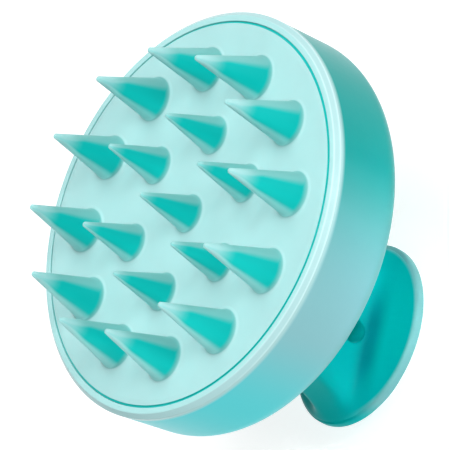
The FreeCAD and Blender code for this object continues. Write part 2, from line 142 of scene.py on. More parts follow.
NECK_OFFSET = 10.8                        # of the disc from the head's axis, towards -X
NECK_SHIFT = 2.8                          # how much of that is gone at the seat
DISC_MIDDLE = Vector((-NECK_OFFSET, 0, 2.8))    # the joint between the neck and the cap
DISC_LENGTH = 20.1                        # half the disc's length
DISC_WIDTH = 16.8                         # half its width
DISC_TILT = 6.4
DISC_EDGE = 2.3
EDGE_ROUND = 0.7
EDGE_STEPS = 8
TOP_SWEEP = 60                            # degrees of the rounding on the disc's upper edge
TOP_STEPS = 6
DISC_TOP = DISC_MIDDLE.z + DISC_EDGE
WAIST = 19.2                              # height of the neck's narrowest part
WAIST_LENGTH, WAIST_WIDTH = 13.5, 5.6     # its half sizes there
FLARE_LENGTH, FLARE_WIDTH = 4.0, 5.9      # how much they grow up to the seat
LENGTH_CURVE, WIDTH_CURVE = 1.8, 12       # powers: how late the neck spreads into the disc
FLARE_CURVE = 4                           # how late it spreads into the seat
ELLIPSE = 2                               # the power of a plain ellipse
SQUARER, SQUARE_CURVE = 5, 4              # how much more the waist has, and how soon it is lost
RINGS_BELOW, RINGS_ABOVE = 40, 16         # of the neck's skin, below and above its waist
RING_CURVE = 1.6                          # how much the lower ones crowd towards the disc
SIDE_ROUNDS = 6                           # of the search for a place on the tilted neck
HOLE_X, HOLE_Z = -12.0, 10.9              # the hanging hole
HOLE_RADIUS = 2.6
HOLE_ROUND = 0.6
HOLE_SPOKES = 72
HOLE_SWEEP = 78                           # degrees of the rounding round the hole's edge
HOLE_STEPS = 8
HOLE_FLARE = 0.25                         # how far the tool goes on along the rounding's end
HOLE_OUTSIDE = (0.35, 12.0)               # how much the tool grows, and rises, outside the neck
CAP_INSET = 4.6
CAP_CURVE = 0.25                          # the share of that inset that comes late
CAP_STEPS = 16
PALM_RADIUS = 8.5
PALM_DEPTH = 0.5
PALM_RINGS = 4
PALM_STEPS = 12
OVAL_POINTS = 128
WELD = 0.003                              # points closer than this become one after a cut


def dish_height(radius):
    """Height of the pad's dished face at a distance from the head's axis."""
    ball = (PAD_EDGE ** 2 + PAD_DISH ** 2) / (2 * PAD_DISH)
    reach = min(radius, PAD_EDGE)
    return FRONT - PAD_DISH + ball - math.sqrt(ball ** 2 - reach ** 2)


# ---------------------------------------------------------------- node materials

NOISE_MIDDLE = (0.3, 0.7)                 # noise hardly leaves this range
CLOUD_DARK = 0.95                         # the colour's share where a cloud is full
RIM_POLISH = 0.45                         # the roughness's share on the polished rim


class Shader:
    """A Principled material, with short ways to add and join nodes."""

    def __init__(self, name, **constants):
        self.material = bpy.data.materials.new(name)
        self.material.use_nodes = True
        self.tree = self.material.node_tree
        self.surface = self.tree.nodes["Principled BSDF"]
        for socket, value in constants.items():
            self.surface.inputs[socket.replace("_", " ")].default_value = value
        self.place = self.add("ShaderNodeTexCoord").outputs["Object"]

    def add(self, kind, **settings):
        node = self.tree.nodes.new(kind)
        for name, value in settings.items():
            setattr(node, name, value)
        return node

    def feed(self, socket, source):
        """Joins an output to a socket, or sets the socket to a number or colour."""
        if hasattr(source, "is_output"):
            self.tree.links.new(source, socket)
        else:
            socket.default_value = source

    def maths(self, operation, *values):
        node = self.add("ShaderNodeMath", operation=operation)
        for socket, value in zip(node.inputs, values):
            self.feed(socket, value)
        return node.outputs[0]

    def times(self, first, *others):
        for other in others:
            first = self.maths("MULTIPLY", first, other)
        return first

    def apart(self, first, second):
        """How far apart two values are."""
        return self.maths("ABSOLUTE", self.maths("SUBTRACT", first, second))

    def length(self, first, second):
        """Length of a flat vector with these two parts."""
        return self.maths("SQRT", self.maths("ADD", self.times(first, first),
                                             self.times(second, second)))

    def noise(self, size_mm, detail, rough=0.5, stretch=(1, 1, 1)):
        """Noise from 0 to 1 whose features are about size_mm across."""
        node = self.add("ShaderNodeTexNoise")
        node.inputs["Scale"].default_value = 1000 / size_mm
        node.inputs["Detail"].default_value = detail
        node.inputs["Roughness"].default_value = rough
        place = self.place
        if stretch != (1, 1, 1):
            mapping = self.add("ShaderNodeMapping")
            mapping.inputs["Scale"].default_value = stretch
            self.feed(mapping.inputs["Vector"], place)
            place = mapping.outputs[0]
        self.feed(node.inputs["Vector"], place)
        return node.outputs["Fac"]

    def span(self, value, low, high, out_low=0.0, out_high=1.0):
        """Smooth step from out_low, where value is low, to out_high, where it is high."""
        node = self.add("ShaderNodeMapRange", interpolation_type="SMOOTHSTEP")
        for socket, number in zip(("Value", "From Min", "From Max", "To Min", "To Max"),
                                  (value, low, high, out_low, out_high)):
            self.feed(node.inputs[socket], number)
        return node.outputs[0]

    def fade(self, value, none, full, unit=1):
        """Smooth step from 0, where value is none, to 1, where it is full; either may be larger."""
        if none < full:
            return self.span(value, none * unit, full * unit)
        return self.span(value, full * unit, none * unit, 1.0, 0.0)

    def varied(self, noise, low=0.0, high=1.0):
        """The noise, stretched to run from low to high."""
        return self.span(noise, *NOISE_MIDDLE, low, high)

    def mix(self, share, first, second):
        node = self.add("ShaderNodeMix", data_type="RGBA")
        self.feed(node.inputs[0], share)
        for socket, colour in ((node.inputs[6], first), (node.inputs[7], second)):
            self.feed(socket, (*colour, 1) if isinstance(colour, tuple) else colour)
        return node.outputs[2]

    def axis(self, letter):
        node = self.add("ShaderNodeSeparateXYZ")
        self.feed(node.inputs[0], self.place)
        return node.outputs["XYZ".index(letter)]

    def kept(self, name):
        """A vector kept on the points of the mesh, which moves with them."""
        return self.add("ShaderNodeAttribute", attribute_name=name).outputs["Vector"]

    def colour(self, source):
        self.feed(self.surface.inputs["Base Color"], source)

    def roughness(self, source):
        self.feed(self.surface.inputs["Roughness"], source)

    def bump(self, *layers):
        """Bumps from pairs of a height source and its depth in millimetres."""
        normal = None
        for height, depth in layers:
            node = self.add("ShaderNodeBump")
            node.inputs["Strength"].default_value = 1.0
            node.inputs["Distance"].default_value = depth * MM
            self.feed(node.inputs["Height"], height)
            if normal:
                self.feed(node.inputs["Normal"], normal)
            normal = node.outputs[0]
        self.feed(self.surface.inputs["Normal"], normal)


SHELL_TEAL = (0.0, 0.34, 0.32)
# painted sheen: a pale reflection painted on the head's side wall
PAINTED_SHEEN_TEAL = (0.24, 0.52, 0.56)
# painted light: the -X side of the head's side wall, lighter and clearer
PAINTED_LOW_LIGHT = (0.06, 0.68, 0.72)
# painted shade: the bevel a little darker than the rim, to tone down the light it catches
BEVEL_SHADE_MINT = (0.42, 0.67, 0.68)
# painted highlight: thin gleams on the two bends beside the bevel
PAINTED_GLEAM_MINT = (0.56, 0.80, 0.81)
HANDLE_TEAL = (0.0, 0.50, 0.49)
# painted shade: the fold between the handle's stem and its disc
FOLD_PAINTED_SHADE = (0.0, 0.24, 0.27)
# painted light: the paler edge of the handle disc
PAINTED_EDGE_LIGHT = (0.20, 0.52, 0.53)
PALE_MINT = (0.43, 0.74, 0.74)
GROOVE_TEAL = (0.0, 0.50, 0.47)
BRISTLE_TEAL = (0.0, 0.49, 0.46)
# painted light and shade on the bristles: a brighter side, painted sheen on both flanks, painted
# shade round the foot
BRISTLE_LIT_SIDE = (0.0, 0.62, 0.58)
SHEEN_AND_SHADE_TONE = (0.19, 0.53, 0.51)
UNDER_SHEEN_MINT = (0.40, 0.90, 0.88)
INNER_DARK, INNER_LIGHT = (0.42, 0.72, 0.71), (0.50, 0.79, 0.78)
ZINC_DARK, ZINC_LIGHT = (0.55, 0.56, 0.57), (0.70, 0.70, 0.68)
PAPER_DARK, PAPER_LIGHT = (0.40, 0.40, 0.40), (0.44, 0.44, 0.44)

# Where the tones start and where they are full. Heights, widths and distances are in millimetres.
SIDE_HEIGHTS = (SEAT + 1.5, REAR_CORNER + 4)
SHEEN_WAY = (-0.82, -0.57)                # the flat direction that the painted pale sheen faces
SHEEN_TURN = (0.36, 1.0)                  # cosine of the angle from that direction
LOW_TURN = (-0.62, -1.0)                  # x as a share of the radius
RIM_HEIGHTS = (FRONT - 2.4, FRONT - 0.9)
BEVEL_BLUR = 0.05
BEND_REACH = (0.24, 0.02)                 # distance from a bend
BEND_TURN = (-0.2, -0.9)                  # y as a share of the radius
# Where shade is painted in the handle's fold.
FOLD_MIDDLE = -13.5                       # along X
FOLD_ENDS = (16, 3)                       # distances from that middle
FOLD_INSIDE = (5.2, 6.6)                  # distances from the XZ plane
FOLD_OUTSIDE = (10.5, 7.0)
FOLD_FLOOR = (0.4, 1.4)                   # heights above the tilted joint of the disc
FOLD_TOP = (16, 12)                       # heights
EDGE_SHARE = (0.93, 0.98)                 # share of the way out to the disc's rim
EDGE_END = (-30, -26)                     # along X
GROOVE_WALL = (PAD_RADIUS - 0.12, PAD_RADIUS - 0.04)
ROOT_MINT = (0.35, 0.05)                  # heights above the pad, here and in the next three
# where painted shade rings the bristle's foot
FOOT_SHADE_HEIGHTS = (1.3, 0.2)
TIP_HEIGHTS = (9.5, 14.5)
NARROW_HEIGHTS = (9, 14.5)
BRISTLE_WAY = (0.93, -0.365)              # the flat direction across a bristle, up in the photo
TEAL_TURN = (-0.6, 0.4)                   # a surface's share of facing that way, here and below
UPPER_TURN = (0.44, 0.78)
UNDER_TURN = (-0.85, -0.55)
UPPER_WIDER, UNDER_WIDER = 0.5, 0.35      # how much the painted sheen on the flanks closes in on the thin end
TIP_SHARE, UNDER_SHARE, CLOUD_SHARE = 0.75, 0.9, 0.15


def radius_of(shader):
    """Distance from the head's axis, in metres."""
    return shader.length(shader.axis("X"), shader.axis("Y"))


def facing(shader, x, y, way):
    """How far the flat vector (x, y) points along way."""
    return shader.maths("ADD", shader.times(x, way[0]), shader.times(y, way[1]))


def side_mask(shader):
    """1 on the head's side wall, and 0 on its back."""
    return shader.fade(shader.axis("Z"), *SIDE_HEIGHTS, MM)


def painted_sheen_mask(shader):
    """1 where a soft pale sheen is painted on the head's side wall, towards -X and -Y."""
    towards = shader.maths("DIVIDE", facing(shader, shader.axis("X"), shader.axis("Y"), SHEEN_WAY),
                           radius_of(shader))
    return shader.times(shader.fade(towards, *SHEEN_TURN), side_mask(shader))


def painted_low_light_mask(shader):
    """1 on the -X side of the head's side wall, painted lighter and clearer in colour than the
    painted sheen.
    """
    towards = shader.maths("DIVIDE", shader.axis("X"), radius_of(shader))
    return shader.times(shader.fade(towards, *LOW_TURN), side_mask(shader))


def rim_mask(shader):
    """1 on the rim's front face and its roundings, and 0 further down both walls."""
    return shader.fade(shader.axis("Z"), *RIM_HEIGHTS, MM)


def bevel_shade_mask(shader):
    """1 on the bevel round the rim's outer edge, painted a little darker as painted shade against
    the light it catches.
    """
    outside = shader.fade(radius_of(shader), BEVEL_START - BEVEL_BLUR, BEVEL_START + BEVEL_BLUR, MM)
    return shader.times(rim_mask(shader), outside)


def painted_gleam_mask(shader):
    """1 on the two fine bends beside that bevel, where a thin highlight is painted on the -Y side.
    """
    across = shader.apart(radius_of(shader), BEVEL_START * MM)
    down = shader.apart(shader.axis("Z"), (FRONT - BEVEL) * MM)
    nearest = shader.fade(shader.maths("MINIMUM", across, down), *BEND_REACH, MM)
    towards = shader.maths("DIVIDE", shader.axis("Y"), radius_of(shader))
    return shader.times(rim_mask(shader), nearest, shader.fade(towards, *BEND_TURN))


def fold_shade_mask(shader):
    """1 in the fold between the handle's stem and its disc, on both sides, where shade is painted.
    """
    across = shader.maths("ABSOLUTE", shader.axis("Y"))
    along = shader.apart(shader.axis("X"), FOLD_MIDDLE * MM)
    slope = math.tan(math.radians(DISC_TILT))
    rise = shader.maths("ADD", shader.axis("Z"), shader.times(shader.axis("X"), slope))
    joint = DISC_MIDDLE.z + DISC_MIDDLE.x * slope
    return shader.times(shader.fade(across, *FOLD_INSIDE, MM),
                        shader.fade(across, *FOLD_OUTSIDE, MM),
                        shader.fade(along, *FOLD_ENDS, MM),
                        shader.fade(rise, *(joint + height for height in FOLD_FLOOR), MM),
                        shader.fade(shader.axis("Z"), *FOLD_TOP, MM))


def disc_edge_light_mask(shader):
    """1 on the rim of the handle disc, painted paler as painted light, but not at -X, which is left
    in shade.
    """
    x = shader.maths("SUBTRACT", shader.axis("X"), DISC_MIDDLE.x * MM)
    reach = shader.length(shader.maths("DIVIDE", x, DISC_LENGTH * MM),
                          shader.maths("DIVIDE", shader.axis("Y"), DISC_WIDTH * MM))
    return shader.times(shader.fade(reach, *EDGE_SHARE),
                        shader.fade(shader.axis("X"), *EDGE_END, MM))


def clouded(shader, cloud, colour):
    """A colour that turns slightly darker with the cloud."""
    return shader.mix(shader.varied(cloud), colour, tuple(part * CLOUD_DARK for part in colour))


def plastic(name, base, gloss, *layers, polished=None):
    """Satin moulded plastic: slight orange peel, uneven gloss, and other tones under masks."""
    shader = Shader(name, IOR=1.45, Specular_IOR_Level=gloss)
    tone = clouded(shader, shader.noise(22, 3), base)
    for mask, colour in layers:
        tone = shader.mix(mask(shader), tone, colour)
    shader.colour(tone)
    rough = shader.varied(shader.noise(0.8, 3), 0.30, 0.32)
    if polished:
        rough = shader.times(rough, shader.span(polished(shader), 0, 1, 1.0, RIM_POLISH))
    shader.roughness(rough)
    shader.bump((shader.noise(1.6, 2), 0.012), (shader.noise(7, 1), 0.02))
    return shader.material


def silicone(name, colour_of, sheen, bends=False):
    """Satin moulded silicone with a very fine matt texture."""
    shader = Shader(name, IOR=1.41, Specular_IOR_Level=0.15, Sheen_Weight=sheen,
                    Sheen_Roughness=0.5, Subsurface_Weight=0.12, Subsurface_Scale=0.004)
    shader.surface.inputs["Subsurface Radius"].default_value = (0.3, 1.0, 1.0)
    shader.surface.inputs["Sheen Tint"].default_value = (0.86, 1.0, 1.0, 1.0)
    if bends:
        shader.place = shader.kept("rest_place")
    shader.colour(colour_of(shader, shader.noise(14, 3)))
    grain = shader.noise(0.35, 3, 0.6)
    shader.roughness(shader.maths("ADD", shader.varied(shader.noise(6, 4), 0.40, 0.50),
                                  shader.varied(grain, -0.03, 0.03)))
    shader.bump((grain, 0.010), (shader.noise(2.2, 2), 0.012))
    return shader.material


def pad_colour(shader, cloud):
    """Pale mint, and deeper in the groove round the pad."""
    wall = shader.fade(radius_of(shader), *GROOVE_WALL, MM)
    return shader.mix(wall, clouded(shader, cloud, PALE_MINT), GROOVE_TEAL)


def dish_level(shader):
    """Height of the pad's dished face under a point, in metres."""
    bowl = PAD_DISH * MM / (PAD_EDGE * MM) ** 2
    radius = radius_of(shader)
    return shader.maths("ADD", shader.times(radius, radius, bowl), (FRONT - PAD_DISH) * MM)


def bristle_colour(shader, cloud):
    """Pale mint at the root and the tip, deep teal up the cone with one side painted brighter,
    painted sheen on both flanks, and painted shade round the foot.
    """
    height = shader.maths("SUBTRACT", shader.axis("Z"), dish_level(shader))
    normal = shader.add("ShaderNodeSeparateXYZ")
    shader.feed(normal.inputs[0], shader.kept("rest_normal"))
    side = facing(shader, normal.outputs["X"], normal.outputs["Y"], BRISTLE_WAY)
    # painted light: the side away from BRISTLE_WAY is brighter
    teal = shader.mix(shader.fade(side, *TEAL_TURN), BRISTLE_LIT_SIDE, BRISTLE_TEAL)
    teal = shader.mix(shader.varied(cloud, 0.0, CLOUD_SHARE), teal, BRISTLE_TEAL)
    narrow = shader.fade(height, *NARROW_HEIGHTS, MM)
    upper = shader.fade(shader.maths("ADD", side, shader.times(narrow, UPPER_WIDER)), *UPPER_TURN)
    under = shader.span(shader.maths("SUBTRACT", side, shader.times(narrow, UNDER_WIDER)),
                        *UNDER_TURN, UNDER_SHARE, 0.0)
    foot = shader.fade(height, *FOOT_SHADE_HEIGHTS, MM)
    # painted sheen on the upper flank and painted shade round the foot share one greyish tone
    teal = shader.mix(shader.maths("MAXIMUM", upper, foot), teal, SHEEN_AND_SHADE_TONE)
    # painted sheen on the under flank, lightening its shade
    teal = shader.mix(under, teal, UNDER_SHEEN_MINT)
    root = shader.fade(height, *ROOT_MINT, MM)
    tip = shader.span(height, *(level * MM for level in TIP_HEIGHTS), 0.0, TIP_SHARE)
    return shader.mix(shader.maths("MAXIMUM", root, tip), teal, PALE_MINT)


def moulded_inner(name):
    """Spark-eroded matt moulding of the hidden plate."""
    shader = Shader(name, IOR=1.5)
    shader.colour(shader.mix(shader.noise(12, 4), INNER_DARK, INNER_LIGHT))
    grain = shader.noise(0.5, 5, 0.7)
    shader.roughness(shader.varied(grain, 0.48, 0.62))
    shader.bump((grain, 0.03))
    return shader.material


def zinc(name):
    """Bright zinc plating with turning marks and a slightly clouded passivation."""
    shader = Shader(name, Metallic=1.0)
    shader.colour(shader.mix(shader.noise(1.5, 4), ZINC_DARK, ZINC_LIGHT))
    shader.roughness(shader.varied(shader.noise(0.4, 4, 0.6), 0.25, 0.42))
    shader.bump((shader.noise(0.25, 2, 0.5, (1, 1, 8)), 0.008))
    return shader.material


# Besides the pale rim, the shell's masked tones are painted light and shade: painted sheen, a
# lighter -X side, a shaded bevel and painted highlights on the bends.
SHELL = plastic("shell_plastic", SHELL_TEAL, 0.12, (painted_sheen_mask, PAINTED_SHEEN_TEAL),
                (painted_low_light_mask, PAINTED_LOW_LIGHT), (rim_mask, PALE_MINT), (bevel_shade_mask, BEVEL_SHADE_MINT),
                (painted_gleam_mask, PAINTED_GLEAM_MINT), polished=rim_mask)
# The handle's masked tones are painted shade in the fold and painted light on the disc's edge.
HANDLE = plastic("handle_plastic", HANDLE_TEAL, 0.03, (fold_shade_mask, FOLD_PAINTED_SHADE),
                 (disc_edge_light_mask, PAINTED_EDGE_LIGHT))
PAD = silicone("pad_silicone", pad_colour, 0.15)
# The bristles' colour carries painted light, sheen and shade.
BRISTLE = silicone("bristle_silicone", bristle_colour, 0.06, bends=True)
INNER = moulded_inner("inner_plastic")
STEEL = zinc("screw_steel")

# ---------------------------------------------------------------- meshes


def to_mesh(name, bm):
    """A mesh with outward normals; the bmesh is used up."""
    mesh = bpy.data.meshes.new(name)
    bmesh.ops.recalc_face_normals(bm, faces=bm.faces)
    bm.to_mesh(mesh)
    bm.free()
    return mesh


def combined(name, mesh, tool, operation):
    """A mesh with another one cut from it or joined to it."""
    objects = []
    for data in (mesh, tool):
        thing = bpy.data.objects.new("scratch", data)
        bpy.context.scene.collection.objects.link(thing)
        objects.append(thing)
    change = objects[0].modifiers.new("change", "BOOLEAN")
    change.operation = operation
    change.solver = "EXACT"
    change.object = objects[1]
    graph = bpy.context.evaluated_depsgraph_get()
    result = bpy.data.meshes.new_from_object(objects[0].evaluated_get(graph))
    result.name = name
    for thing in objects:
        bpy.data.objects.remove(thing)
    bm = bmesh.new()
    bm.from_mesh(result)
    bmesh.ops.remove_doubles(bm, verts=bm.verts, dist=WELD)
    bm.to_mesh(result)
    bm.free()
    return result


def new_piece(name, bm, body, material, nodes, sharp=32, tools=()):
    """An object from a bmesh in millimetres, smooth except at sharp corners."""
    mesh = to_mesh(name, bm)
    for tool, operation in tools:
        mesh = combined(name, mesh, to_mesh(name + "_tool", tool), operation)
    mesh.transform(Matrix.Scale(MM, 4))
    mesh.shade_smooth()
    mesh.set_sharp_from_angle(angle=math.radians(sharp))
    mesh.materials.append(material)
    piece = bpy.data.objects.new(name, mesh)
    bpy.context.scene.collection.objects.link(piece)
    if body:
        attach(piece, body)
    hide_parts(*nodes)
    return piece


def loft(rings, bm=None):
    """A closed skin over rings of equally many points; the two end rings are capped."""
    bm = bm or bmesh.new()
    loops = [[bm.verts.new(point) for point in ring] for ring in rings]
    count = len(loops[0])
    for low, high in zip(loops, loops[1:]):
        for step in range(count):
            after = (step + 1) % count
            bm.faces.new((low[step], low[after], high[after], high[step]))
    for loop, ring in ((loops[0], rings[0]), (loops[-1], rings[-1])):
        middle = bm.verts.new(sum((Vector(p) for p in ring), Vector()) / count)
        for step in range(count):
            bm.faces.new((loop[step], loop[(step + 1) % count], middle))
    return bm


def corner_arc(before, corner, after, radius, steps):
    """Points of a rounding that replaces one corner of a flat outline."""
    before, corner, after = Vector(before), Vector(corner), Vector(after)
    first = (before - corner).normalized()
    second = (after - corner).normalized()
    half = first.angle(second) / 2
    reach = radius / math.tan(half)
    middle = corner + (first + second).normalized() * (radius / math.sin(half))
    start, end = corner + first * reach - middle, corner + second * reach - middle
    sweep = start.angle(end)
    points = []
    for step in range(steps + 1):
        share = step / steps
        way = start * math.sin((1 - share) * sweep) + end * math.sin(share * sweep)
        points.append(middle + way / math.sin(sweep))
    return points


def outline(corners, steps):
    """A flat outline through (radius, height, rounding) corners; its ends stay sharp."""
    points = [Vector(corners[0][:2])]
    for before, corner, after in zip(corners, corners[1:], corners[2:]):
        if corner[2]:
            points += corner_arc(before[:2], corner[:2], after[:2], corner[2], steps)
        else:
            points.append(Vector(corner[:2]))
    points.append(Vector(corners[-1][:2]))
    return points


def densify(points):
    """The same outline with no step longer than LONGEST_STEP."""
    dense = [points[0]]
    for start, end in zip(points, points[1:]):
        parts = max(1, math.ceil((end - start).length / LONGEST_STEP))
        for part in range(1, parts + 1):
            dense.append(start.lerp(end, part / parts))
    return dense


def circle(radius, height, spokes):
    """Points round the Z axis."""
    turns = [2 * math.pi * spoke / spokes for spoke in range(spokes)]
    return [Vector((radius * math.cos(turn), radius * math.sin(turn), height)) for turn in turns]


def turned(points):
    """A skin of revolution about Z; its outline starts and ends near the axis."""
    return loft([circle(radius, height, TURNED_SPOKES) for radius, height in densify(points)])


def oval(middle, tilt, half_length, half_width, squareness=ELLIPSE):
    """Points round an ellipse, or a squarer form, that is tilted about Y."""
    turn = Matrix.Rotation(math.radians(tilt), 3, "Y")
    ring = []
    for step in range(OVAL_POINTS):
        angle = 2 * math.pi * step / OVAL_POINTS
        total = abs(math.cos(angle)) ** squareness + abs(math.sin(angle)) ** squareness
        swell = total ** (-1 / squareness)
        ring.append(middle + turn @ Vector((half_length * swell * math.cos(angle),
                                            half_width * swell * math.sin(angle), 0)))
    return ring


# ---------------------------------------------------------------- the head and its pad


def head_shell():
    """The moulded cup: back, side wall, bevelled rim, and the ledge for the backing plate."""
    corners = [
        (AXIS_GAP, SEAT, 0), (SEAT_RADIUS, SEAT, SEAT_ROUND),
        (HEAD_RADIUS - SIDE_DRAFT, REAR_CORNER, REAR_ROUND),
        (HEAD_RADIUS, FRONT - BEVEL, BEVEL_ROUND), (BEVEL_START, FRONT, BEVEL_ROUND),
        (RIM_INNER, FRONT, RIM_ROUND), (RIM_INNER, LEDGE, 0),
        (RIM_INNER - LEDGE_WIDTH, LEDGE, 0),
        (RIM_INNER - LEDGE_WIDTH, REAR_CORNER + WALL, INSIDE_ROUND),
        (SEAT_RADIUS, SEAT + WALL, 0), (AXIS_GAP, SEAT + WALL, 0),
    ]
    return new_piece("head_shell_skin", turned(outline(corners, HEAD_ARC)), "housing",
                     SHELL, ["head_shell"])


def pad_studs():
    """The six studs behind the pad, with rounded ends, reaching a little way into it."""
    studs = bmesh.new()
    for number in range(STUDS):
        turn = math.radians(STUD_START + 360 // STUDS * number)
        middle = Vector((STUD_CIRCLE * math.cos(turn), STUD_CIRCLE * math.sin(turn), 0))
        rings = []
        for inset, height in (*STUD_END, (0, STUD_LENGTH + STUD_OVERLAP)):
            level = Vector((0, 0, PAD_BACK - STUD_LENGTH + height))
            rings.append(oval(middle + level, 0, STUD_RADIUS - inset, STUD_RADIUS - inset)[::4])
        loft(rings, studs)
    return studs


def pad():
    """The dished pad, with the groove's inner wall and a lip that fills the shell below it."""
    radii = [AXIS_GAP] + [PAD_EDGE * step / DISH_STEPS for step in range(1, DISH_STEPS)]
    points = [Vector((radius, dish_height(radius))) for radius in radii]
    edge_round, foot_round, lip_round = GROOVE_ROUNDS
    points += outline([
        (PAD_EDGE_START, dish_height(PAD_EDGE_START), 0), (PAD_EDGE, FRONT, PAD_EDGE_ROUND),
        (PAD_RADIUS, FRONT, edge_round), (PAD_RADIUS, FRONT - GROOVE_DEPTH, foot_round),
        (PAD_LIP, FRONT - GROOVE_DEPTH, lip_round), (PAD_LIP, PAD_BACK, PAD_BACK_ROUND),
        (PAD_BACK_FLAT, PAD_BACK, 0),
    ], PAD_ARC)
    points.append(Vector((AXIS_GAP, PAD_BACK)))
    return new_piece("bristle_pad_skin", turned(points), "pad", PAD,
                     ["bristle_pad"], tools=[(pad_studs(), "UNION")])


# ---------------------------------------------------------------- the bristles


def keep_rest(mesh):
    """Keeps each point's place and normal at rest, so that the material bends with the mesh."""
    for name, rows in (("rest_place", [point.co for point in mesh.vertices]),
                       ("rest_normal", [point.normal for point in mesh.vertices])):
        layer = mesh.attributes.new(name, "FLOAT_VECTOR", "POINT")
        layer.data.foreach_set("vector", [number for row in rows for number in row])


def root_rings(place, tilt, base, taper):
    """Rings of a bristle's soft root, from inside the pad to the start of the straight cone."""
    rings = []
    for step in range(-1, ROOT_STEPS + 1):
        share = max(0, step) / ROOT_STEPS
        ring = []
        for spoke in circle(1, 0, BRISTLE_SPOKES):
            out = tilt @ spoke
            foot = place + out * base
            foot.z = dish_height(foot.xy.length)
            wide = foot + Vector((out.x, out.y, 0)).normalized() * ROOT
            wide.z = dish_height(wide.xy.length)
            side = place + out * (base - ROOT * math.tan(taper)) + tilt @ Vector((0, 0, ROOT))
            if step < 0:
                ring.append(wide - Vector((0, 0, ROOT_SUNK)))
            else:
                ring.append(wide * (1 - share) ** 2 + foot * 2 * share * (1 - share)
                            + side * share ** 2)
        rings.append(ring)
    return rings


def cone_profile(length, base, taper):
    """(radius, height) of each ring up the cone and over its rounded tip, short of the pole."""
    profile = []
    top = length - TIP_RADIUS * (1 - math.sin(taper))
    for step in range(1, CONE_STEPS + 1):
        height = ROOT + (top - ROOT) * step / CONE_STEPS
        profile.append((base - height * math.tan(taper), height))
    for step in range(1, TIP_STEPS + 1):
        turn = taper + (math.pi / 2 - taper) * step / (TIP_STEPS + 0.3)
        profile.append((TIP_RADIUS * math.cos(turn),
                        length - TIP_RADIUS + TIP_RADIUS * math.sin(turn)))
    return profile


def bristle(name, place, lean, angle, length, base):
    """One cone with a soft root that runs into the pad's face."""
    tilt = (Matrix.Rotation(math.radians(angle), 3, "Z")
            @ Matrix.Rotation(math.radians(-lean), 3, "Y"))
    taper = math.atan((base - TIP_RADIUS) / length)
    rings = root_rings(place, tilt, base, taper)
    for radius, height in cone_profile(length, base, taper):
        rings.append([place + tilt @ point for point in circle(radius, height, BRISTLE_SPOKES)])
    piece = new_piece(name + "_skin", loft(rings), None, BRISTLE, [name], 50)
    keep_rest(piece.data)
    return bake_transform(piece)


def bristles():
    """Both rings of bristles and the one in the middle, each where its ball seat puts it."""
    for label, count, ring, start, lean, length, base, ball in BRISTLE_RINGS:
        rise = math.sqrt(ball ** 2 - base ** 2)
        for number in range(count):
            angle = start + 360 * number / count
            turn = math.radians(angle)
            axis = Vector((-math.sin(math.radians(lean)), 0, math.cos(math.radians(lean))))
            axis.rotate(Matrix.Rotation(turn, 3, "Z"))
            pivot = Vector((ring * math.cos(turn), ring * math.sin(turn),
                            dish_height(ring) + rise))
            bristle(label % (number + 1), pivot - axis * rise, lean, angle, length, base)
    bristle("centre_bristle", Vector((0, 0, dish_height(0))), 0, 0, CENTRE_LENGTH, CENTRE_BASE)


# ---------------------------------------------------------------- the handle


def neck_sizes(height):
    """Offset, tilt, half length, half width and squareness of the neck at a height."""
    fall = max(0, (WAIST - height) / (WAIST - DISC_TOP))
    up = max(0, (height - WAIST) / (SEAT - WAIST)) ** FLARE_CURVE
    climb = min(1, max(0, (height - DISC_TOP) / (SEAT - DISC_TOP)))
    half_length = (WAIST_LENGTH + FLARE_LENGTH * up
                   + (DISC_LENGTH - EDGE_ROUND - WAIST_LENGTH) * fall ** LENGTH_CURVE)
    half_width = (WAIST_WIDTH + FLARE_WIDTH * up
                  + (DISC_WIDTH - EDGE_ROUND - WAIST_WIDTH) * fall ** WIDTH_CURVE)
    return (NECK_OFFSET - NECK_SHIFT * climb ** 2, DISC_TILT * (1 - climb), half_length,
            half_width, ELLIPSE + SQUARER * (1 - fall ** SQUARE_CURVE) * (1 - up))


def neck_ring(height):
    """The neck's cross-section at a height."""
    offset, tilt, half_length, half_width, power = neck_sizes(height)
    return oval(Vector((-offset, 0, height)), tilt, half_length, half_width, power)


def neck_side(x, z):
    """Half width of the neck at a place on its side."""
    height = z
    for _ in range(SIDE_ROUNDS):
        offset, tilt, half_length, half_width, power = neck_sizes(height)
        height = z + (x + offset) * math.tan(math.radians(tilt))
    share = min(1, abs(x + offset) / half_length)
    return half_width * (1 - share ** power) ** (1 / power)


def hanging_hole():
    """The tool that cuts the hanging hole through the neck and rounds both of its edges."""
    steps = [(0.0, None)]
    for step in range(HOLE_STEPS + 1):
        turn = math.radians(HOLE_SWEEP) * step / HOLE_STEPS
        steps.append((HOLE_ROUND * (1 - math.cos(turn)), HOLE_ROUND * (math.sin(turn) - 1)))
    reach, rise = steps[-1]
    steps.append((reach + HOLE_FLARE,
                  rise + HOLE_FLARE * math.tan(math.radians(90 - HOLE_SWEEP))))
    steps.append((reach + HOLE_OUTSIDE[0], HOLE_OUTSIDE[1]))
    half = []
    for grow, rise in steps:
        ring = []
        for spoke in range(HOLE_SPOKES):
            turn = 2 * math.pi * spoke / HOLE_SPOKES
            out = Vector((math.cos(turn), 0, math.sin(turn)))
            side = neck_side(HOLE_X + out.x * (HOLE_RADIUS + HOLE_ROUND),
                             HOLE_Z + out.z * (HOLE_RADIUS + HOLE_ROUND))
            depth = 0.0 if rise is None else side + rise
            ring.append(Vector((HOLE_X, depth, HOLE_Z)) + out * (HOLE_RADIUS + grow))
        half.append(ring)
    mirror = [[Vector((p.x, -p.y, p.z)) for p in ring] for ring in reversed(half[1:])]
    return loft(mirror + half)


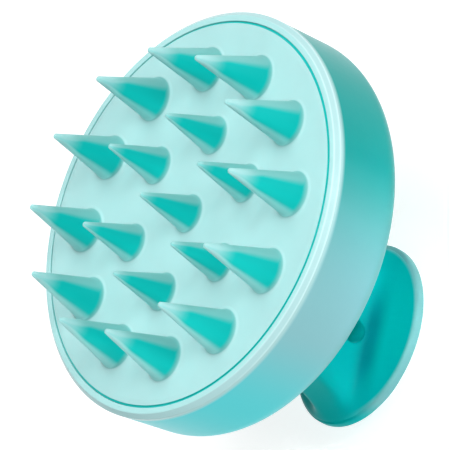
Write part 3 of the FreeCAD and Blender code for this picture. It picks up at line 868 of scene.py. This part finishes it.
def neck():
    """The disc's upper side with its rounded edge, the stem, and its flare up to the head."""
    normal = Matrix.Rotation(math.radians(DISC_TILT), 3, "Y") @ Vector((0, 0, 1))
    rings = []
    for step in range(EDGE_STEPS + 1):
        turn = math.pi / 2 * step / EDGE_STEPS
        rings.append((EDGE_ROUND * (1 - math.sin(turn)), EDGE_ROUND * (1 - math.cos(turn))))
    for step in range(TOP_STEPS + 1):
        turn = math.radians(TOP_SWEEP) * step / TOP_STEPS
        rings.append((EDGE_ROUND * (1 - math.cos(turn)),
                      DISC_EDGE - EDGE_ROUND * (1 - math.sin(turn))))
    skins = [oval(DISC_MIDDLE + normal * height, DISC_TILT, DISC_LENGTH - inset,
                  DISC_WIDTH - inset) for inset, height in rings]
    for step in range(1, RINGS_BELOW + 1):
        share = (step / RINGS_BELOW) ** RING_CURVE
        skins.append(neck_ring(DISC_TOP + (WAIST - DISC_TOP) * share))
    for step in range(1, RINGS_ABOVE + 1):
        skins.append(neck_ring(WAIST + (SEAT - WAIST) * step / RINGS_ABOVE))
    return new_piece("handle_neck_skin", loft(skins), "housing", HANDLE,
                     ["handle_neck"], tools=[(hanging_hole(), "DIFFERENCE")])


def cap():
    """The palm side of the disc: its edge rounds in to a flat face with a shallow round dish."""
    rings = []
    for step in range(CAP_STEPS + 1):
        down = step / CAP_STEPS
        inset = EDGE_ROUND + CAP_INSET * down * (1 - CAP_CURVE + CAP_CURVE * down)
        rings.append(oval(Vector((DISC_MIDDLE.x, 0, DISC_MIDDLE.z * (1 - down))),
                          DISC_TILT * (1 - down), DISC_LENGTH - inset, DISC_WIDTH - inset))
    flat = EDGE_ROUND + CAP_INSET
    for step in range(1, PALM_RINGS + 1):
        share = step / PALM_RINGS
        rings.append(oval(Vector((DISC_MIDDLE.x, 0, 0)), 0,
                          (DISC_LENGTH - flat) * (1 - share) + PALM_RADIUS * share,
                          (DISC_WIDTH - flat) * (1 - share) + PALM_RADIUS * share))
    for step in range(1, PALM_STEPS):
        share = 1 - step / PALM_STEPS
        rings.append(oval(Vector((DISC_MIDDLE.x, 0, PALM_DEPTH * (1 - share ** 2))), 0,
                          PALM_RADIUS * share, PALM_RADIUS * share))
    return new_piece("handle_cap_skin", loft(rings), "housing", HANDLE,
                     ["handle_cap"], 20)


head_shell()
pad()
bristles()
neck()
cap()
for node, material in (("backing_plate", INNER), ("plate_screws", STEEL), ("neck_screws", STEEL)):
    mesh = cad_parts[node].data
    mesh.materials.clear()
    mesh.materials.append(material)

# ---------------------------------------------------------------- floor and light

FLOOR_SIZE = 3
FLOOR_GLOW = 0.8
WHITE = (1, 1, 1, 1)
WORLD_LIGHT, WORLD_SEEN = 0.15, 1.0       # strength as light, and as the backdrop
HEAD_MIDDLE = (0, 0, 45)

# name, direction, distance and size in metres, power, the point aimed at in millimetres, spread
LIGHTS = (
    ("key", (0.34, -0.05, 0.94), 1.0, 0.45, 5.0, HEAD_MIDDLE, 180),
    ("front_fill", (-0.05, -0.40, 0.91), 1.2, 0.7, 6.5, HEAD_MIDDLE, 180),
    ("side_fill", (0.10, -0.90, 0.42), 1.2, 0.4, 3.0, HEAD_MIDDLE, 180),
    ("low_fill", (-0.85, -0.35, 0.40), 1.2, 0.6, 1.2, HEAD_MIDDLE, 180),
    ("rim_light", (0.28, -0.63, 0.72), 1.0, 0.10, 0.6, HEAD_MIDDLE, 180),
    ("handle_light", (0.10, -0.80, 0.59), 0.22, 0.03, 0.0024, (-10, -10, 2), 14),
)


def floor():
    """A plain pale floor that glows a little, so that it looks white as in the photograph."""
    bm = bmesh.new()
    bmesh.ops.create_grid(bm, x_segments=8, y_segments=8, size=FLOOR_SIZE)
    mesh = bpy.data.meshes.new("floor")
    bm.to_mesh(mesh)
    bm.free()
    shader = Shader("floor_paper", IOR=1.4)
    shader.colour(shader.mix(shader.noise(60, 3), PAPER_DARK, PAPER_LIGHT))
    shader.roughness(shader.varied(shader.noise(1.5, 4), 0.75, 0.85))
    shader.bump((shader.noise(0.6, 3), 0.01))
    shader.surface.inputs["Emission Color"].default_value = WHITE
    shader.surface.inputs["Emission Strength"].default_value = FLOOR_GLOW
    mesh.materials.append(shader.material)
    plane = bpy.data.objects.new("floor", mesh)
    bpy.context.scene.collection.objects.link(plane)


def area_light(name, direction, distance, size, power, aim, spread):
    """A square soft light, placed and aimed from a point in millimetres."""
    light = bpy.data.lights.new(name, "AREA")
    light.energy = power
    light.size = size
    light.spread = math.radians(spread)
    lamp = bpy.data.objects.new(name, light)
    bpy.context.scene.collection.objects.link(lamp)
    way = Vector(direction).normalized()
    lamp.location = Vector(aim) * MM + way * distance
    lamp.rotation_euler = way.to_track_quat("Z", "Y").to_euler()


def studio_world():
    """A white backdrop that gives only a little light."""
    world = bpy.data.worlds.new("studio")
    world.use_nodes = True
    nodes, links = world.node_tree.nodes, world.node_tree.links
    nodes["Background"].inputs["Color"].default_value = WHITE
    strength = nodes.new("ShaderNodeMapRange")
    strength.inputs["To Min"].default_value = WORLD_LIGHT
    strength.inputs["To Max"].default_value = WORLD_SEEN
    links.new(nodes.new("ShaderNodeLightPath").outputs["Is Camera Ray"], strength.inputs["Value"])
    links.new(strength.outputs[0], nodes["Background"].inputs["Strength"])
    bpy.context.scene.world = world
    bpy.context.scene.view_settings.view_transform = "Standard"


floor()
for light in LIGHTS:
    area_light(*light)
studio_world()
